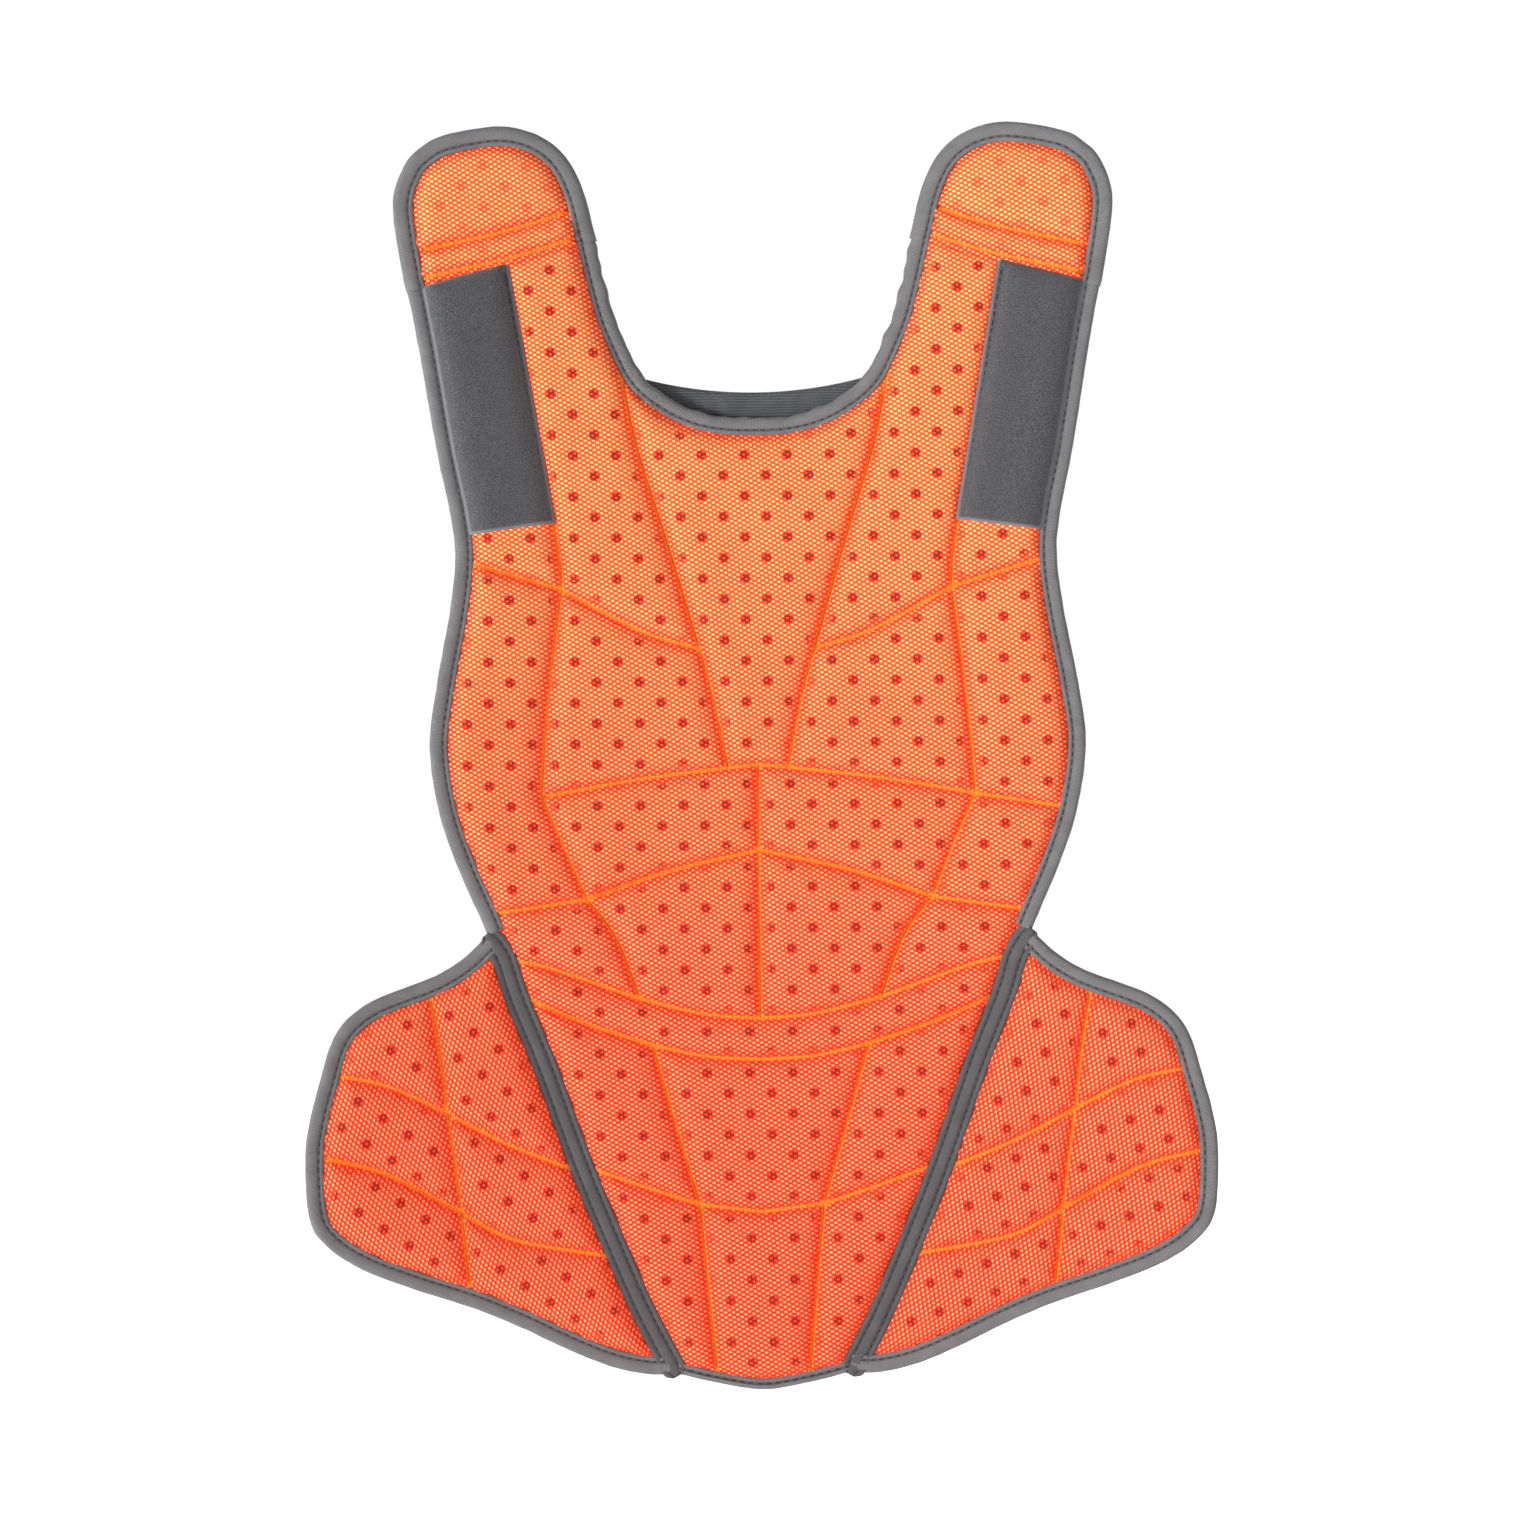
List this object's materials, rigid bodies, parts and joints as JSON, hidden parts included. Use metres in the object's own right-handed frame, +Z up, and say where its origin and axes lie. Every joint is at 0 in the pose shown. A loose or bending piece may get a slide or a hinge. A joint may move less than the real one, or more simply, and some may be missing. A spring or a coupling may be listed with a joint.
{
  "type": "padded chest protector",
  "caption": "Body-facing side of a padded chest protector: quilted orange mesh lining, foam pads, dark shell, taped edges, folding wings and shoulder tips.",
  "frame": {"origin": "on the centre line, on the lining's inner face at the middle of the chest, where the wearer's chest carries it", "axes": "+Z up the body, +Y away from the wearer, so the lining faces -Y; +X to the right when the lining is seen"},
  "size_m": [0.398, 0.0609, 0.5566],
  "materials": {
    "mesh_lining": "fine knitted spacer mesh with small perforations",
    "outer_cloth": "matt woven nylon",
    "foam": "closed-cell foam sheet",
    "binding_tape": "ribbed grosgrain tape",
    "loop_pile": "napped loop pile",
    "collar_cloth": "ribbed knit"
  },
  "bodies": {
    "chest": {"chest_lining": "mesh_lining", "chest_shell": "outer_cloth", "left_breast_pad": "foam", "left_collarbone_pad": "foam", "left_loop_patch": "loop_pile", "left_lower_rib_pad": "foam", "left_side_binding": "binding_tape", "left_side_pad": "foam", "left_strap_pad": "foam", "left_upper_rib_pad": "foam", "left_waist_pad": "foam", "neckline_binding": "binding_tape", "right_breast_pad": "foam", "right_collarbone_pad": "foam", "right_flank_pad": "foam", "right_loop_patch": "loop_pile", "right_lower_rib_pad": "foam", "right_side_binding": "binding_tape", "right_side_pad": "foam", "right_strap_pad": "foam", "right_upper_rib_pad": "foam", "right_waist_pad": "foam", "sternum_pad": "foam", "throat_collar": "collar_cloth"},
    "belly": {"belly_binding": "binding_tape", "belly_lining": "mesh_lining", "belly_pad": "foam", "belly_shell": "outer_cloth", "left_belly_pad": "foam", "left_tail_pad": "foam", "right_belly_pad": "foam", "right_tail_pad": "foam", "tail_pad": "foam", "waistband_pad": "foam"},
    "left_wing": {"left_wing_binding": "binding_tape", "left_wing_lining": "mesh_lining", "left_wing_lower_inner_pad": "foam", "left_wing_lower_outer_pad": "foam", "left_wing_middle_inner_pad": "foam", "left_wing_middle_outer_pad": "foam", "left_wing_shell": "outer_cloth", "left_wing_upper_inner_pad": "foam", "left_wing_upper_outer_pad": "foam"},
    "left_shoulder_tip": {"left_tip_binding": "binding_tape", "left_tip_lining": "mesh_lining", "left_tip_pad": "foam", "left_tip_shell": "outer_cloth"},
    "right_wing": {"right_wing_binding": "binding_tape", "right_wing_lining": "mesh_lining", "right_wing_lower_inner_pad": "foam", "right_wing_lower_outer_pad": "foam", "right_wing_middle_inner_pad": "foam", "right_wing_middle_outer_pad": "foam", "right_wing_shell": "outer_cloth", "right_wing_upper_inner_pad": "foam", "right_wing_upper_outer_pad": "foam"},
    "right_shoulder_tip": {"right_tip_binding": "binding_tape", "right_tip_lining": "mesh_lining", "right_tip_pad": "foam", "right_tip_shell": "outer_cloth"}
  },
  "joints": [
    {"name": "belly_flex", "type": "hinge", "parent": "chest", "child": "belly", "pos_m": [0, -0.0155, -0.146], "axis": [-1, 0, 0], "range_deg": [0, 25], "stiffness_Nm_per_rad": 0.8},
    {"name": "right_wing_fold", "type": "hinge", "parent": "belly", "child": "right_wing", "pos_m": [0.12, -0.01536, -0.147], "axis": [-0.3877, 0.0049, -0.9218], "range_deg": [0, 75], "stiffness_Nm_per_rad": 0.1},
    {"name": "left_wing_fold", "type": "hinge", "parent": "belly", "child": "left_wing", "pos_m": [-0.12, -0.01536, -0.147], "axis": [-0.3877, -0.0049, 0.9218], "range_deg": [0, 75], "stiffness_Nm_per_rad": 0.1},
    {"name": "right_shoulder_fold", "type": "hinge", "parent": "chest", "child": "right_shoulder_tip", "pos_m": [0.071, -0.00573, 0.1635], "axis": [0.9412, -0.2028, -0.2704], "range_deg": [0, 90], "stiffness_Nm_per_rad": 0.1},
    {"name": "left_shoulder_fold", "type": "hinge", "parent": "chest", "child": "left_shoulder_tip", "pos_m": [-0.071, -0.00573, 0.1635], "axis": [0.9412, 0.2028, 0.2704], "range_deg": [0, 90], "stiffness_Nm_per_rad": 0.1}
  ]
}
